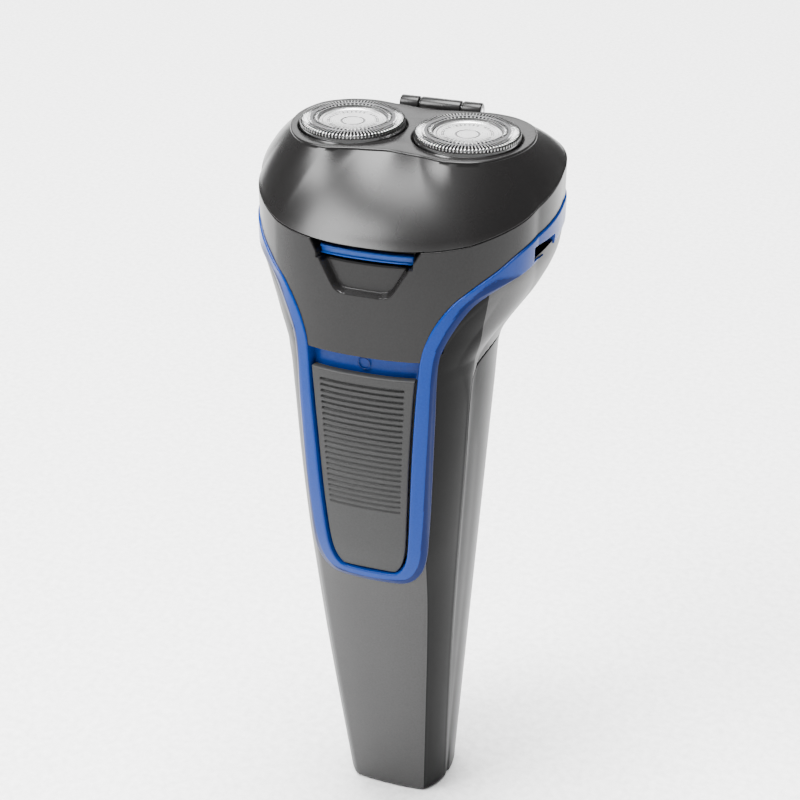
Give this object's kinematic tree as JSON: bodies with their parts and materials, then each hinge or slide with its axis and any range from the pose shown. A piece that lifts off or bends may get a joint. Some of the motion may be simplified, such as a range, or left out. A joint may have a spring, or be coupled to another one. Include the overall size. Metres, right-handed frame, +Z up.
{
  "type": "rotary electric shaver",
  "caption": "Rotary electric shaver with a tapered handle, a hinged shaving head with slotted guards, a ribbed power slider, a release button and a geared drive.",
  "frame": {"origin": "middle of the flat base, under the middle of the drive", "axes": "+Z up the handle, -Y the front with the slider, +X the user's left"},
  "size_m": [0.0628, 0.0534, 0.1638],
  "materials": {
    "dark_housing": "satin gunmetal lacquer, darker on the flanks",
    "rear_shell": "satin gunmetal lacquer",
    "front_shell": "semi-gloss gunmetal lacquer",
    "head_shell": "semi-gloss gunmetal lacquer",
    "slider_grip": "satin grey, ribbed",
    "blue_trim": "satin blue",
    "blue_button": "satin blue",
    "light_ring": "translucent blue ring",
    "pin_steel": "ground",
    "guard_steel": "stamped and lapped",
    "disc_steel": "polished, faintly brushed",
    "cutter_steel": "ground",
    "spring_steel": "drawn wire and stacked laminations",
    "motor_steel": "plated can",
    "contact_brass": "plain",
    "black_plastic": "moulded",
    "white_plastic": "moulded acetal",
    "frame_plastic": "moulded",
    "knob_plastic": "moulded",
    "cell_wrap": "shrink wrap",
    "board_green": "solder mask"
  },
  "bodies": {
    "body": {"main_housing": "dark_housing", "rear_cover": "rear_shell", "front_panel": "front_shell", "trim_frame": "blue_trim", "charge_light_ring": "light_ring", "hinge_pin": "pin_steel", "gear_plate": "black_plastic", "drive_chassis": "black_plastic", "motor_can": "motor_steel", "motor_end_cap": "white_plastic", "motor_terminal_left": "contact_brass", "motor_terminal_right": "contact_brass", "chassis_screw_front": "pin_steel", "chassis_screw_rear": "pin_steel", "inner_frame": "black_plastic", "battery_cell": "cell_wrap", "battery_contact_lower": "contact_brass", "battery_contact_upper": "contact_brass", "circuit_board": "board_green", "slide_switch": "black_plastic", "charge_socket": "black_plastic", "socket_pin_left": "contact_brass", "socket_pin_right": "contact_brass", "float_spring_left": "spring_steel", "float_spring_right": "spring_steel"},
    "head": {"head_cover": "head_shell", "retaining_frame": "frame_plastic"},
    "retaining_knob": {"retaining_knob": "knob_plastic"},
    "guard_left": {"shaving_guard_left": "guard_steel", "guard_disc_left": "disc_steel"},
    "guard_right": {"shaving_guard_right": "guard_steel", "guard_disc_right": "disc_steel"},
    "cutter_left": {"cutter_left": "cutter_steel"},
    "cutter_right": {"cutter_right": "cutter_steel"},
    "drive_left": {"drive_spindle_left": "white_plastic", "driven_gear_left": "white_plastic"},
    "drive_right": {"drive_spindle_right": "white_plastic", "driven_gear_right": "white_plastic"},
    "motor_rotor": {"motor_shaft": "pin_steel", "motor_armature": "spring_steel", "motor_pinion": "contact_brass"},
    "power_slider": {"power_slider": "slider_grip", "switch_knob": "white_plastic"},
    "release_button": {"release_button": "blue_button"}
  },
  "joints": [
    {"name": "head_hinge", "type": "hinge", "parent": "body", "child": "head", "pos_m": [0, 0.02139, 0.16002], "axis": [-1, 0, 0], "range_deg": [0, 100]},
    {"name": "retaining_knob_turn", "type": "hinge", "parent": "head", "child": "retaining_knob", "pos_m": [0, -0.009, 0.1578], "axis": [0, 0, 1], "range_deg": [0, 90]},
    {"name": "guard_float_left", "type": "slide", "parent": "head", "child": "guard_left", "axis": [0, 0, -1], "range_m": [0, 0.0015], "stiffness_N_per_m": 400, "springref_m": -0.001, "deforming": ["float_spring_left"]},
    {"name": "cutter_spin_left", "type": "hinge", "parent": "guard_left", "child": "cutter_left", "pos_m": [0.01213, 0, 0.161], "axis": [0, 0, 1], "continuous": true},
    {"name": "drive_spin_left", "type": "hinge", "parent": "body", "child": "drive_left", "pos_m": [0.01213, 0, 0.1427], "axis": [0, 0, 1], "continuous": true},
    {"name": "guard_float_right", "type": "slide", "parent": "head", "child": "guard_right", "axis": [0, 0, -1], "range_m": [0, 0.0015], "stiffness_N_per_m": 400, "springref_m": -0.001, "deforming": ["float_spring_right"]},
    {"name": "cutter_spin_right", "type": "hinge", "parent": "guard_right", "child": "cutter_right", "pos_m": [-0.01213, 0, 0.161], "axis": [0, 0, 1], "continuous": true},
    {"name": "drive_spin_right", "type": "hinge", "parent": "body", "child": "drive_right", "pos_m": [-0.01213, 0, 0.1427], "axis": [0, 0, 1], "continuous": true},
    {"name": "motor_spin", "type": "hinge", "parent": "body", "child": "motor_rotor", "pos_m": [0, 0, 0.1427], "axis": [0, 0, 1], "continuous": true},
    {"name": "power_slide", "type": "slide", "parent": "body", "child": "power_slider", "axis": [0, -0.0599, 0.9982], "range_m": [0, 0.003]},
    {"name": "release_press", "type": "slide", "parent": "body", "child": "release_button", "axis": [0, 1, 0], "range_m": [0, 0.0015], "stiffness_N_per_m": 800, "springref_m": -0.0005}
  ],
  "couplings": [
    {"joint": "drive_spin_left", "follows": "motor_spin", "ratio": -0.33333},
    {"joint": "drive_spin_right", "follows": "motor_spin", "ratio": -0.33333},
    {"joint": "cutter_spin_left", "follows": "motor_spin", "ratio": -0.33333},
    {"joint": "cutter_spin_right", "follows": "motor_spin", "ratio": -0.33333}
  ]
}
